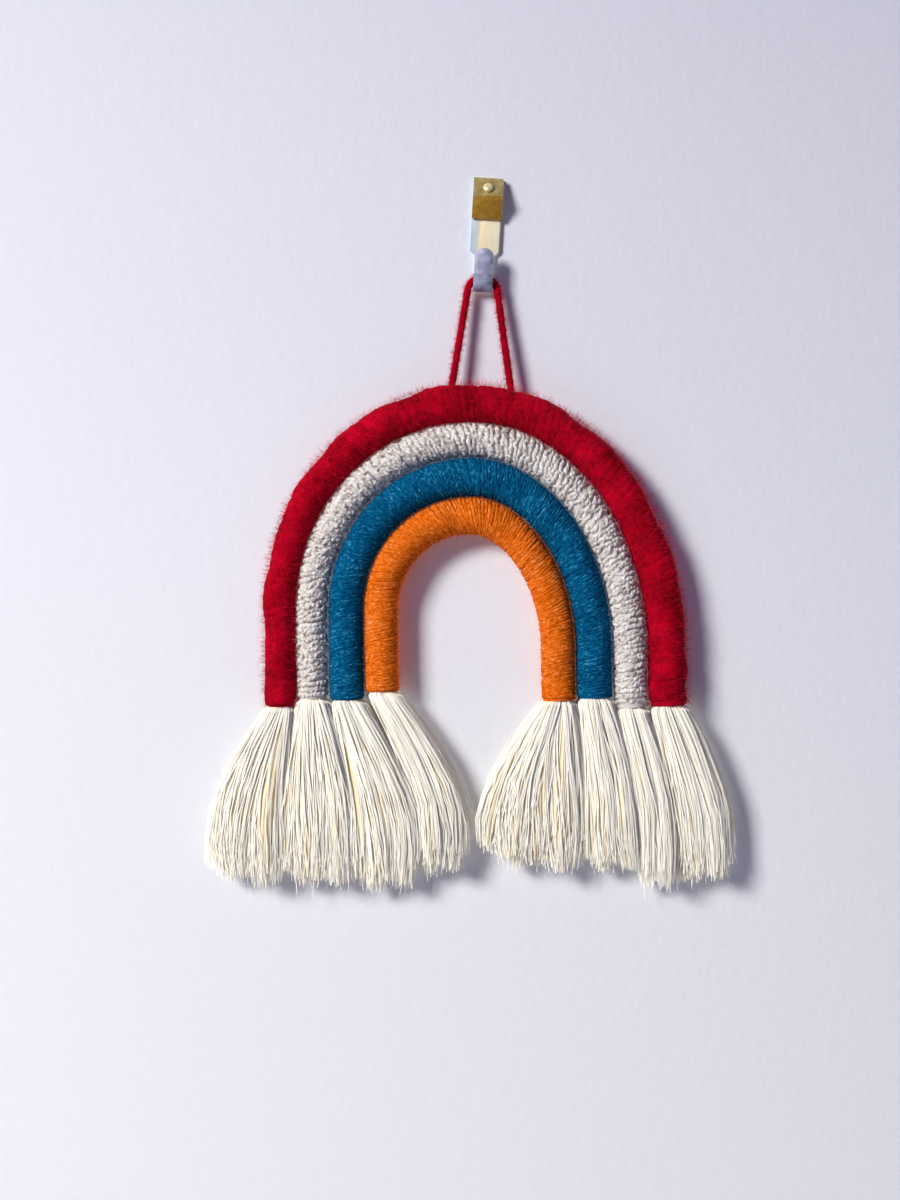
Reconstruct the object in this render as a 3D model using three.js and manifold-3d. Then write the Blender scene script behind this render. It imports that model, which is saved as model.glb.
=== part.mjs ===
// A rope rainbow on its picture hook: four cotton ropes wound with yarn and bent into nested arches, with
// frayed ends, hung by a loop of red yarn. Millimetres, +Z up. The mounting plane is Y = 0, and the front
// faces -Y. The origin is on the flat back of the hook's plate, between its nail guide and its tongue.
import * as THREE from "three";
import { mergeVertices } from "three/addons/utils/BufferGeometryUtils.js";
import Module from "manifold-3d";

const wasm = await Module();
wasm.setup();

const clearance = 0.3; // kept between pieces that touch

const ropeDepth = 6.2; // every rope's centre line in front of the mounting plane
const outerLeft = -61.9; // centre line of the outer rope's left leg
const outerRight = 54.2;
const archMiddle = -4.6; // where the arches are highest
const outerCrown = -52.05; // height of the outer centre line there
const leftSpring = -114; // the left legs run straight below this height
const rightSpring = -126;
const leftLegLean = 0.0007; // sideways shift of a leg for each square millimetre of its drop
const rightLegLean = 0.0016;
const archSteps = 44;
const legSteps = 7;

// From the outside in: each rope's radii in the left leg, at the top and in the right leg, wound with its
// yarn, the heights where its legs end, and the size and number of its lumps.
const ropes = [
  { name: "red", left: 4.6, top: 5.5, right: 5.7, leftEnd: -142.8, rightEnd: -142.5, lump: 0.5, lumps: 9 },
  { name: "oat", left: 4.7, top: 5.1, right: 5.1, leftEnd: -140.4, rightEnd: -143.1, lump: 0.3, lumps: 11 },
  { name: "teal", left: 5.2, top: 5.8, right: 5.4, leftEnd: -140.7, rightEnd: -140.2, lump: 0.3, lumps: 8 },
  { name: "orange", left: 5.2, top: 5.6, right: 5.1, leftEnd: -138.3, rightEnd: -141, lump: 0.3, lumps: 6 },
];
const outerSides = 14; // sides of the outer rope's section
const innerSides = 12;
const lumpMix = 0.6; // share of the longer of the two waves that shape the lumps
const lumpRatio = 1.7; // how much shorter the other wave is

const coreInset = 0.4; // the cotton rope is this much thinner in radius than its winding
const headLength = 4;
const headSides = 12;
const locksPerFringe = 28;
const lockSides = 3;
const lockSections = 5;
const lockFill = 0.36; // a lock's radius as a share of the locks' spacing
const tipTaper = 0.55;
const lockUneven = 0.025; // the locks' lengths differ by this share, and again by a finer one
const lockUnevenFine = 0.015;
const spreadTop = -145.4; // the fringe starts to spread at this height
const spreadDrop = 40; // and is fully spread this far below
const tipHalfDepth = 5.2;

// Where each fringe ends up: the middle and half width of its spread at the tips, and its locks' length.
const fringes = [
  { rope: "red", side: "left", tipMiddle: -71.6, tipHalf: 12.4, length: 51.5 },
  { rope: "oat", side: "left", tipMiddle: -49.5, tipHalf: 11.9, length: 53.5 },
  { rope: "teal", side: "left", tipMiddle: -29.25, tipHalf: 10.4, length: 55.5 },
  { rope: "orange", side: "left", tipMiddle: -13, tipHalf: 7.4, length: 54.5 },
  { rope: "orange", side: "right", tipMiddle: 14.7, tipHalf: 17.4, length: 49 },
  { rope: "teal", side: "right", tipMiddle: 38.4, tipHalf: 8.6, length: 49.5 },
  { rope: "oat", side: "right", tipMiddle: 51.15, tipHalf: 5.5, length: 51.5 },
  { rope: "red", side: "right", tipMiddle: 64.7, tipHalf: 9.4, length: 51 },
];

const yarnDiameter = 2.2;
const yarnSides = 8;
const yarnSteps = 50;
const yarnRoute = [
  [-10.2, -5, -46.2], [-9.4, -4.7, -41.4], [-8.6, -4.4, -36.6], [-7.8, -4.1, -31.7], [-7, -3.8, -26.9],
  [-6.2, -3.5, -22], [-5.45, -3.3, -17.34], [-4.91, -3.2, -15.82], [-3.9, -3.2, -14.62],
  [-2.55, -3.2, -13.84], [-1.01, -3.2, -13.57], [0.53, -3.2, -13.84], [1.88, -3.2, -14.62],
  [2.89, -3.2, -15.82], [3.45, -3.3, -17.47], [4.1, -3.5, -22.3], [4.75, -3.8, -27.1], [5.4, -4.1, -32],
  [6.1, -4.4, -37.2], [6.8, -4.7, -42.4], [7.45, -5, -47.4],
];

const hookTilt = THREE.MathUtils.degToRad(3.2); // the hook hangs with its top leaning to the right
const stripThickness = 1;
const plateTop = 16.9;
const plateHalfWidth = 4.5;
const shoulderTop = -5.1;
const shoulderBottom = -6.6;
const tongueHalfWidth = 2.9;
const tongueTop = -5.4;
const hookBottom = -18;
const throat = 4.4; // clear space between the plate and the tongue
const guideThickness = 0.8;
const guideTop = 16.5; // inner face of the guide, at its upper foot, its fold and its lower foot
const guideFold = 9.9;
const guideFoot = 4.7;
const guideReach = 4.4;
const nailHeight = 12.75;
const nailRadius = 0.7;
const nailHeadRadius = 1.5;
const nailHeadHeight = 0.9;
const nailHeadFlat = 0.6; // flat share of the head's radius
const boreLength = 30; // long enough to go through guide and plate

const finishes = {
  red: { color: 0xae1230, roughness: 0.95, metalness: 0 },
  oat: { color: 0xcdc6bc, roughness: 0.95, metalness: 0 },
  teal: { color: 0x0f6089, roughness: 0.9, metalness: 0 },
  orange: { color: 0xd8661e, roughness: 0.9, metalness: 0 },
  cotton: { color: 0xefe8d8, roughness: 0.95, metalness: 0 },
  steel: { color: 0xa7a7b2, roughness: 0.35, metalness: 1 },
  brass: { color: 0xb39150, roughness: 0.35, metalness: 1 },
};

function piece(name, geometry, finish) {
  const mesh = new THREE.Mesh(geometry, new THREE.MeshStandardMaterial(finishes[finish]));
  mesh.name = name;
  return mesh;
}

// A closed skin over rings of points that run anticlockwise round the way they follow, capped at both ends.
function loft(rings) {
  const sides = rings[0].length;
  const points = rings.flat();
  const lastRing = points.length - sides;
  const faces = [];
  for (let start = 0; start < lastRing; start += sides) {
    for (let side = 0; side < sides; side++) {
      const a = start + side;
      const b = start + ((side + 1) % sides);
      faces.push(a, b, b + sides, a, b + sides, a + sides);
    }
  }
  for (let side = 1; side + 1 < sides; side++) {
    faces.push(0, side + 1, side);
    faces.push(lastRing, lastRing + side, lastRing + side + 1);
  }
  const geometry = new THREE.BufferGeometry().setFromPoints(points);
  geometry.setIndex(faces);
  geometry.computeVertexNormals();
  return geometry;
}

function solidOf(geometry) {
  const bare = geometry.clone();
  bare.deleteAttribute("normal");
  bare.deleteAttribute("uv");
  const merged = mergeVertices(bare, 1e-4);
  const mesh = new wasm.Mesh({
    numProp: 3,
    vertProperties: new Float32Array(merged.attributes.position.array),
    triVerts: new Uint32Array(merged.index.array),
  });
  return new wasm.Manifold(mesh);
}

function geometryOf(solid) {
  const mesh = solid.getMesh();
  const geometry = new THREE.BufferGeometry();
  geometry.setAttribute("position", new THREE.BufferAttribute(new Float32Array(mesh.vertProperties), 3));
  geometry.setIndex(new THREE.BufferAttribute(new Uint32Array(mesh.triVerts), 1));
  geometry.computeVertexNormals();
  return geometry;
}

// The wound rope's radius at an angle along the arch, from 0 at the left leg to pi at the right one.
function ropeRadius(rope, angle) {
  const leg = angle < Math.PI / 2 ? rope.left : rope.right;
  return leg + (rope.top - leg) * Math.sin(angle) ** 2;
}

// A point of a rope's centre line on its arch, with the way outward there. The outer arch is two quarter
// ellipses, and each rope inside it lies against the one before.
function archPoint(rope, angle) {
  const onLeft = angle < Math.PI / 2;
  const halfSpan = onLeft ? archMiddle - outerLeft : outerRight - archMiddle;
  const spring = onLeft ? leftSpring : rightSpring;
  const rise = outerCrown - spring;
  const outer = new THREE.Vector3(
    archMiddle - halfSpan * Math.cos(angle),
    -ropeDepth,
    spring + rise * Math.sin(angle),
  );
  const outward = new THREE.Vector3(-Math.cos(angle) / halfSpan, 0, Math.sin(angle) / rise).normalize();
  let inset = 0;
  for (let k = 0; ropes[k] !== rope; k++) {
    inset += ropeRadius(ropes[k], angle) + clearance + ropeRadius(ropes[k + 1], angle);
  }
  return { centre: outer.addScaledVector(outward, -inset), outward };
}

// A point of a leg's centre line, which leans more the lower it is.
function legPoint(rope, side, height) {
  const onLeft = side === "left";
  const point = archPoint(rope, onLeft ? 0 : Math.PI).centre;
  const drop = (onLeft ? leftSpring : rightSpring) - height;
  point.x += (onLeft ? leftLegLean : rightLegLean) * drop ** 2;
  point.z = height;
  return point;
}

function legEnd(rope, side) {
  return legPoint(rope, side, side === "left" ? rope.leftEnd : rope.rightEnd);
}

// Stations along a rope from the end of its left leg, over the crown, to the end of its right leg.
function ropeStations(rope) {
  const stations = [];
  for (let k = 0; k < legSteps; k++) {
    const height = rope.leftEnd + ((leftSpring - rope.leftEnd) * k) / legSteps;
    stations.push({ ...archPoint(rope, 0), centre: legPoint(rope, "left", height), angle: 0 });
  }
  for (let k = 0; k <= archSteps; k++) {
    const angle = (Math.PI * k) / archSteps;
    stations.push({ ...archPoint(rope, angle), angle });
  }
  for (let k = 1; k <= legSteps; k++) {
    const height = rightSpring + ((rope.rightEnd - rightSpring) * k) / legSteps;
    stations.push({ ...archPoint(rope, Math.PI), centre: legPoint(rope, "right", height), angle: Math.PI });
  }
  return stations;
}

// Handwound lumps swell the front of every rope, and the outside of the outer one, where nothing else lies.
function woundRope(rope) {
  const isOuter = rope === ropes[0];
  const sides = isOuter ? outerSides : innerSides;
  const stations = ropeStations(rope);
  const front = new THREE.Vector3(0, -1, 0);
  const rings = stations.map(({ centre, outward, angle }, k) => {
    const along = (2 * Math.PI * k) / (stations.length - 1);
    const longWave = Math.sin(rope.lumps * along);
    const shortWave = Math.sin(lumpRatio * rope.lumps * along + 1);
    const lump = rope.lump * (lumpMix * longWave + (1 - lumpMix) * shortWave);
    const radius = ropeRadius(rope, angle);
    const ring = [];
    for (let side = 0; side < sides; side++) {
      const turn = (2 * Math.PI * side) / sides;
      const facingFront = Math.max(0, Math.sin(turn)) ** 2;
      const facingOut = isOuter ? Math.max(0, Math.cos(turn)) ** 2 : 0;
      const reach = radius + lump * (facingFront + facingOut);
      const point = centre.clone();
      point.addScaledVector(outward, reach * Math.cos(turn));
      point.addScaledVector(front, reach * Math.sin(turn));
      ring.push(point);
    }
    return ring;
  });
  return loft(rings);
}

// How far the fringe has spread at a height, from 0 at the ropes to 1 at the tips.
function spreadAt(height) {
  const share = THREE.MathUtils.clamp((spreadTop - height) / spreadDrop, 0, 1);
  return Math.sin((Math.PI / 2) * share);
}

// One frayed rope end: a short head, and locks set round its middle at the golden angle.
function fringe(row) {
  const rope = ropes.find((one) => one.name === row.rope);
  const root = legEnd(rope, row.side);
  const headRadius = rope[row.side] - coreInset;
  const headTop = root.z - clearance;
  const head = new THREE.CylinderGeometry(headRadius, headRadius, headLength, headSides);
  head.rotateX(Math.PI / 2);
  head.translate(root.x, root.y, headTop - headLength / 2);
  const goldenAngle = Math.PI * (3 - Math.sqrt(5));
  const thickness = lockFill * Math.sqrt(Math.PI / locksPerFringe); // a lock's share of the fringe's size
  const solids = [solidOf(head)];
  for (let lock = 0; lock < locksPerFringe; lock++) {
    const away = (1 - thickness) * Math.sqrt((lock + 0.5) / locksPerFringe);
    const across = away * Math.cos(lock * goldenAngle);
    const forward = away * Math.sin(lock * goldenAngle);
    const uneven = 1 + lockUneven * Math.sin(5 * lock) + lockUnevenFine * Math.sin(11 * lock + 2);
    const sideways = row.tipMiddle - root.x + across * (row.tipHalf - headRadius);
    const drop = Math.sqrt((row.length * uneven) ** 2 - sideways ** 2);
    const top = headTop - headLength / 2;
    const rings = [];
    for (let k = 0; k < lockSections; k++) {
      const height = top - ((drop - headLength / 2) * k) / (lockSections - 1);
      const spread = spreadAt(height);
      const middle = root.x + (row.tipMiddle - root.x) * spread;
      const halfWidth = headRadius + (row.tipHalf - headRadius) * spread;
      const halfDepth = headRadius + (tipHalfDepth - headRadius) * spread;
      const taper = k === lockSections - 1 ? tipTaper : 1;
      const ring = [];
      for (let side = 0; side < lockSides; side++) {
        const turn = (2 * Math.PI * side) / lockSides + lock;
        const x = middle + halfWidth * (across + thickness * taper * Math.cos(turn));
        const y = root.y - halfDepth * (forward + thickness * taper * Math.sin(turn));
        ring.push(new THREE.Vector3(x, y, height));
      }
      rings.push(ring);
    }
    solids.push(solidOf(loft(rings)));
  }
  return geometryOf(wasm.Manifold.union(solids));
}

function hangingLoop() {
  const section = new THREE.Shape();
  section.setFromPoints(
    Array.from({ length: yarnSides }, (_, side) => {
      const turn = (2 * Math.PI * side) / yarnSides;
      return new THREE.Vector2(Math.cos(turn), Math.sin(turn)).multiplyScalar(yarnDiameter / 2);
    }),
  );
  const route = new THREE.CatmullRomCurve3(yarnRoute.map((place) => new THREE.Vector3(...place)));
  return new THREE.ExtrudeGeometry(section, { steps: yarnSteps, extrudePath: route, bevelEnabled: false });
}

// Turns a shape drawn as (distance from the mounting plane, height) into a block that lies across the hook.
function acrossHook(shape, width) {
  const settings = { depth: width, bevelEnabled: false, curveSegments: 10 };
  const geometry = new THREE.ExtrudeGeometry(shape, settings);
  const toHook = new THREE.Matrix4().makeBasis(
    new THREE.Vector3(0, -1, 0),
    new THREE.Vector3(0, 0, 1),
    new THREE.Vector3(-1, 0, 0),
  );
  geometry.applyMatrix4(toHook);
  geometry.translate(width / 2, 0, 0);
  return solidOf(geometry);
}

// Turns a shape drawn as seen from the front into a block between two distances from the mounting plane.
function fromFront(shape, near, far) {
  const settings = { depth: far - near, bevelEnabled: false, curveSegments: 10 };
  const geometry = new THREE.ExtrudeGeometry(shape, settings);
  geometry.rotateX(Math.PI / 2);
  geometry.translate(0, -near, 0);
  return solidOf(geometry);
}

const guideSlope = Math.atan2(guideReach - stripThickness - clearance, guideTop - guideFold);
const nailPlace = new THREE.Vector3(
  0,
  -(stripThickness + clearance + (guideTop - nailHeight) * Math.tan(guideSlope)),
  nailHeight,
);

// Lays a solid of revolution drawn along +Y on the nail's own line, square to the guide's upper face.
function onNailLine(geometry) {
  geometry.rotateX(Math.PI - guideSlope);
  geometry.translate(...nailPlace);
  return geometry;
}

function nailHole() {
  const radius = nailRadius + clearance;
  const bore = new THREE.CylinderGeometry(radius, radius, boreLength, 12);
  return solidOf(onNailLine(bore));
}

function hookStrip() {
  const bendRadius = throat / 2;
  const outerRadius = bendRadius + stripThickness;
  const bendHeight = hookBottom + outerRadius;
  const tongueFront = 2 * outerRadius;
  const profile = new THREE.Shape();
  profile.moveTo(0, plateTop);
  profile.lineTo(0, bendHeight);
  profile.absarc(outerRadius, bendHeight, outerRadius, Math.PI, 2 * Math.PI, false);
  profile.lineTo(tongueFront, tongueTop);
  profile.lineTo(tongueFront - stripThickness, tongueTop);
  profile.lineTo(tongueFront - stripThickness, bendHeight);
  profile.absarc(outerRadius, bendHeight, bendRadius, 0, Math.PI, true);
  profile.lineTo(stripThickness, plateTop);
  profile.closePath();

  const plate = new THREE.Shape();
  plate.moveTo(-plateHalfWidth, plateTop + 1);
  plate.lineTo(-plateHalfWidth, shoulderTop);
  plate.lineTo(-tongueHalfWidth, shoulderBottom);
  plate.lineTo(-tongueHalfWidth, hookBottom - 1);
  plate.lineTo(tongueHalfWidth, hookBottom - 1);
  plate.lineTo(tongueHalfWidth, shoulderBottom);
  plate.lineTo(plateHalfWidth, shoulderTop);
  plate.lineTo(plateHalfWidth, plateTop + 1);
  plate.closePath();

  const tongue = new THREE.Shape();
  tongue.moveTo(-tongueHalfWidth, hookBottom - 1);
  tongue.lineTo(tongueHalfWidth, hookBottom - 1);
  tongue.absarc(0, tongueTop - tongueHalfWidth, tongueHalfWidth, 0, Math.PI, false);
  tongue.closePath();

  const outline = fromFront(plate, -1, outerRadius).add(fromFront(tongue, bendRadius, tongueFront + 1));
  return geometryOf(acrossHook(profile, 2 * plateHalfWidth + 2).intersect(outline).subtract(nailHole()));
}

function hookGuide() {
  const inside = stripThickness + clearance;
  const lowerSlope = Math.atan2(guideReach - inside, guideFold - guideFoot);
  const mitre = guideThickness / Math.cos((guideSlope + lowerSlope) / 2);
  const mitreTurn = (guideSlope - lowerSlope) / 2;
  const thick = guideThickness;
  const profile = new THREE.Shape();
  profile.moveTo(inside, guideTop);
  profile.lineTo(guideReach, guideFold);
  profile.lineTo(inside, guideFoot);
  profile.lineTo(inside + thick * Math.cos(lowerSlope), guideFoot - thick * Math.sin(lowerSlope));
  profile.lineTo(guideReach + mitre * Math.cos(mitreTurn), guideFold + mitre * Math.sin(mitreTurn));
  profile.lineTo(inside + thick * Math.cos(guideSlope), guideTop + thick * Math.sin(guideSlope));
  profile.closePath();
  return geometryOf(acrossHook(profile, 2 * plateHalfWidth).subtract(nailHole()));
}

// The nail stops just short of the back of the plate.
function hookNail() {
  const seat = guideThickness + clearance;
  const tip = (nailPlace.y + clearance) / Math.cos(guideSlope) + nailRadius;
  const profile = [
    new THREE.Vector2(0, tip),
    new THREE.Vector2(nailRadius, tip),
    new THREE.Vector2(nailRadius, seat),
    new THREE.Vector2(nailHeadRadius, seat),
    new THREE.Vector2(nailHeadRadius, seat + nailHeadHeight / 2),
    new THREE.Vector2(nailHeadRadius * nailHeadFlat, seat + nailHeadHeight),
    new THREE.Vector2(0, seat + nailHeadHeight),
  ];
  return onNailLine(new THREE.LatheGeometry(profile, 14));
}

const hanging = new THREE.Group();
hanging.name = "rope_rainbow";
for (const rope of ropes) {
  hanging.add(piece(`wrap_${rope.name}`, woundRope(rope), rope.name));
}
for (const row of fringes) {
  hanging.add(piece(`fringe_${row.rope}_${row.side}`, fringe(row), "cotton"));
}
hanging.add(piece("hanging_loop", hangingLoop(), "red"));

const hook = new THREE.Group();
hook.name = "picture_hook";
hook.rotation.y = hookTilt;
hook.add(piece("hook_strip", hookStrip(), "steel"));
hook.add(piece("hook_guide", hookGuide(), "brass"));
hook.add(piece("hook_nail", hookNail(), "brass"));

const part = new THREE.Group();
part.name = "wall_hanging";
part.add(hanging, hook);

export default part;
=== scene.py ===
# Rope rainbow on its picture hook: wound yarn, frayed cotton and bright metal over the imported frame.
import math

import bmesh
import bpy
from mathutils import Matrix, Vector


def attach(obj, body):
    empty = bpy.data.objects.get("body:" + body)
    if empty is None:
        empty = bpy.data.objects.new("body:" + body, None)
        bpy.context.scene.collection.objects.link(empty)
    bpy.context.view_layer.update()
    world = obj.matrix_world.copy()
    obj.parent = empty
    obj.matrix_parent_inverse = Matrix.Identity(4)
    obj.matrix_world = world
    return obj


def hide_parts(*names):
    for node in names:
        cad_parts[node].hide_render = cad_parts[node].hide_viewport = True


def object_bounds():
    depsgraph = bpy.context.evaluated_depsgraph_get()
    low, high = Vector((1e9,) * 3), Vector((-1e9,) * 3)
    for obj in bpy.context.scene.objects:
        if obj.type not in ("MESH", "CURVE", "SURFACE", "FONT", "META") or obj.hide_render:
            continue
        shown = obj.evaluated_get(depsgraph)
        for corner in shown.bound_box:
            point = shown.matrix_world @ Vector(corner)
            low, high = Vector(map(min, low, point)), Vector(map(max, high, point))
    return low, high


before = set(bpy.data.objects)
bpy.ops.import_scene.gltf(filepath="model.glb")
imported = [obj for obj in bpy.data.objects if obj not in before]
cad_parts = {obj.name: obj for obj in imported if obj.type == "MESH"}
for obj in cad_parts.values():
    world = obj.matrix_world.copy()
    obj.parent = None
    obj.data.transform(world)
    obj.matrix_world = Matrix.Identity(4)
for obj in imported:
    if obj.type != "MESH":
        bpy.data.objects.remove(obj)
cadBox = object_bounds()
mm = 0.001  # sizes below are in millimetres and are scaled by this where they meet Blender
scene = bpy.context.scene
frontward = Vector((0, -1, 0))
print("frame:", len(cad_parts), "nodes")


class Graph:  # adds and links nodes in one node tree
    def __init__(self, tree):
        self.tree = tree

    def add(self, kind, inputs=None, **settings):
        node = self.tree.nodes.new(kind)
        for name, value in settings.items():
            setattr(node, name, value)
        for key, value in (inputs or {}).items():
            self.feed(self.socket(node.inputs, key), value)
        return node

    def run(self, kind, inputs=None, **settings):  # the first output of a geometry node
        return self.add("GeometryNode" + kind, inputs, **settings).outputs[0]

    def socket(self, sockets, key):
        if isinstance(key, int):
            return sockets[key]
        return next(one for one in sockets if one.name == key and one.enabled)

    def feed(self, socket, value):
        if isinstance(value, bpy.types.NodeSocket):
            self.tree.links.new(value, socket)
        else:
            socket.default_value = value

    def math(self, operation, first, second=0.0):
        return self.add("ShaderNodeMath", {0: first, 1: second}, operation=operation).outputs[0]

    def times(self, first, second):
        return self.math("MULTIPLY", first, second)

    def plus(self, first, second):
        return self.math("ADD", first, second)

    def minus(self, first, second):
        return self.math("SUBTRACT", first, second)

    def over(self, first, second):
        return self.math("DIVIDE", first, second)

    def vector(self, operation, first, second=(0.0, 0.0, 0.0)):
        return self.add("ShaderNodeVectorMath", {0: first, 1: second}, operation=operation).outputs[0]

    def scaled(self, vector, factor):
        return self.add("ShaderNodeVectorMath", {0: vector, "Scale": factor}, operation="SCALE").outputs[0]

    def xyz(self, x, y, z):
        return self.add("ShaderNodeCombineXYZ", {0: x, 1: y, 2: z}).outputs[0]

    def noise(self, vector, scale, detail=2.0, output="Fac"):
        sizes = {"Vector": vector, "Scale": scale, "Detail": detail}
        return self.add("ShaderNodeTexNoise", sizes).outputs[output]

    def noiseAlong(self, way, scale, detail=2.0):
        sizes = {"W": way, "Scale": scale, "Detail": detail}
        return self.add("ShaderNodeTexNoise", sizes, noise_dimensions="1D").outputs["Fac"]

    def centred(self, value, reach):  # a noise value turned into one from about -reach to reach
        return self.times(self.minus(value, 0.5), 2.5 * reach)

    def ramp(self, factor, stops):  # stops are places from 0 to 1 with picture colours
        node = self.add("ShaderNodeValToRGB", {"Fac": factor})
        elements = node.color_ramp.elements
        elements.remove(elements[1])
        elements[0].position = stops[0][0]
        elements[0].color = picture(*stops[0][1])
        for place, colour in stops[1:]:
            elements.new(place).color = picture(*colour)
        return node.outputs["Color"]

    def bands(self, along, stops, unit):  # a ramp whose places are lengths, in the given unit
        low = stops[0][0]
        reach = stops[-1][0] - low
        share = self.over(self.minus(along, low * unit), reach * unit)
        return self.ramp(share, [((at - low) / reach, colour) for at, colour in stops])

    def bump(self, shader, strength, depth, height):  # depth in millimetres
        inputs = {"Strength": strength, "Distance": depth * mm, "Height": height}
        self.feed(shader["Normal"], self.add("ShaderNodeBump", inputs).outputs[0])

    def mixColour(self, factor, first, second):
        node = self.add("ShaderNodeMix", {"Factor": factor, "A": first, "B": second}, data_type="RGBA")
        return self.socket(node.outputs, "Result")

    def named(self, name, kind="FLOAT"):
        node = self.add("GeometryNodeInputNamedAttribute", {"Name": name}, data_type=kind)
        return self.socket(node.outputs, "Attribute")

    def keep(self, geometry, name, value, domain="POINT"):
        inputs = {"Geometry": geometry, "Name": name, "Value": value}
        return self.run("StoreNamedAttribute", inputs, data_type="FLOAT", domain=domain)

    def random(self, low, high, seed, who=None):
        inputs = {"Min": low, "Max": high, "Seed": seed}
        if who is not None:
            inputs["ID"] = who
        node = self.add("FunctionNodeRandomValue", inputs, data_type="FLOAT")
        return self.socket(node.outputs, "Value")

    def sweep(self, curve, profile, scale=1.0, caps=True):
        inputs = {"Curve": curve, "Profile Curve": profile, "Scale": scale, "Fill Caps": caps}
        return self.run("CurveToMesh", inputs)

    def tube(self, curve, sides, radius, scale=1.0, caps=True):
        circle = self.add("GeometryNodeCurvePrimitiveCircle", {"Resolution": sides, "Radius": radius})
        return self.sweep(curve, circle.outputs[0], scale, caps)

    def ribbon(self, half, axis):  # a flat profile, this far to each side
        back = self.times(half, -1.0)
        start = self.xyz(back, 0.0, 0.0) if axis == "X" else self.xyz(0.0, back, 0.0)
        end = self.xyz(half, 0.0, 0.0) if axis == "X" else self.xyz(0.0, half, 0.0)
        return self.run("CurvePrimitiveLine", {"Start": start, "End": end})

    def faced(self, curve, normal):
        return self.run("SetCurveNormal", {"Curve": curve, "Normal": normal}, mode="FREE")

    def part(self, vector, axis):
        return self.add("ShaderNodeSeparateXYZ", {0: vector}).outputs[axis]


# inputs of node trees that are whole numbers, and those that are lengths in millimetres
countLabels = ("Points", "Points Per Turn", "Plies", "Sides", "Body Sides", "Strands Per Lock", "Seed")
lengthLabels = (
    "Yarn Radius", "Yarn Half Width", "Ply Radius", "Ply Offset", "Ply Length", "Bury", "Unevenness", "Slant",
    "Slack", "Wiggle", "Fuzz Length", "Fuzz Radius", "Strand Half Width", "Lock Wave", "Lock Wave Length",
    "Wave", "Wave Length", "Lean", "Wisp",
)


def startTree(name, sizes):
    tree = bpy.data.node_groups.new(name, "GeometryNodeTree")
    kinds = {"Geometry": "Geometry", "Material": "Material"}
    kinds.update({label: "Int" if label in countLabels else "Float" for label in sizes})
    for label, kind in kinds.items():
        tree.interface.new_socket(label, in_out="INPUT", socket_type="NodeSocket" + kind)
    tree.interface.new_socket("Geometry", in_out="OUTPUT", socket_type="NodeSocketGeometry")
    given = tree.nodes.new("NodeGroupInput").outputs
    return Graph(tree), {one.name: one for one in given if one.name}


def endTree(graph, given, geometries):
    joined = graph.add("GeometryNodeJoinGeometry")
    for geometry in geometries:
        graph.tree.links.new(geometry, joined.inputs[0])
    whole = graph.run("RealizeInstances", {"Geometry": joined.outputs[0]})
    smooth = graph.run("SetShadeSmooth", {"Geometry": whole})
    painted = graph.run("SetMaterial", {"Geometry": smooth, "Material": given["Material"]})
    graph.tree.links.new(painted, graph.tree.nodes.new("NodeGroupOutput").inputs[0])
    return graph.tree


# a mesh of bare lines with point values, for a node tree to work on
def makeHost(name, lines, values):
    mesh = bpy.data.meshes.new(name)
    edges = []
    count = 0
    for line in lines:
        edges += [(count + k, count + k + 1) for k in range(len(line) - 1)]
        count += len(line)
    mesh.from_pydata([point for line in lines for point in line], edges, [])
    for label, numbers in values.items():
        isVector = isinstance(numbers[0], Vector)
        layer = mesh.attributes.new(label, "FLOAT_VECTOR" if isVector else "FLOAT", "POINT")
        flat = [part for number in numbers for part in number] if isVector else numbers
        layer.data.foreach_set("vector" if isVector else "value", flat)
    host = bpy.data.objects.new(name, mesh)
    scene.collection.objects.link(host)
    return host


# runs a node tree on a host and keeps the result as a plain mesh object
def growPiece(name, host, tree, sizes, material):
    modifier = host.modifiers.new("nodes", "NODES")
    modifier.node_group = tree
    sockets = {one.name: one.identifier for one in tree.interface.items_tree if one.in_out == "INPUT"}
    for label, value in sizes.items():
        modifier[sockets[label]] = value * mm if label in lengthLabels else value
    modifier[sockets["Material"]] = material
    depsgraph = bpy.context.evaluated_depsgraph_get()
    grown = host.evaluated_get(depsgraph)
    mesh = bpy.data.meshes.new_from_object(grown, preserve_all_data_layers=True, depsgraph=depsgraph)
    host.modifiers.remove(modifier)
    bpy.data.objects.remove(host)
    mesh.name = name
    piece = bpy.data.objects.new(name, mesh)
    scene.collection.objects.link(piece)
    print(name, sum(len(face.vertices) - 2 for face in mesh.polygons), "triangles")
    return piece


def dress(piece, slot, *nodes):
    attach(piece, "root")
    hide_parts(*nodes)


def picture(red, green, blue):  # a picture colour, 0 to 255, as a linear shader colour
    shares = [part / 255 for part in (red, green, blue)]
    return (*[part / 12.92 if part <= 0.04045 else ((part + 0.055) / 1.055) ** 2.4 for part in shares], 1.0)


def newMaterial(name, values):
    material = bpy.data.materials.new(name)
    material.use_nodes = True
    shader = material.node_tree.nodes["Principled BSDF"].inputs
    for label, value in values.items():
        shader[label].default_value = value
    return material, Graph(material.node_tree), shader


# camera, square to the mounting plane
cameraView = {
    "imageSize": (900, 1200),
    "originPixel": (486, 230),  # where the frame's origin lies in the picture
    "pixelSize": 0.3,  # on the ropes' plane
    "ropePlane": -6.2,
    "distance": 450,
    "sensor": 36,
}


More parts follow.
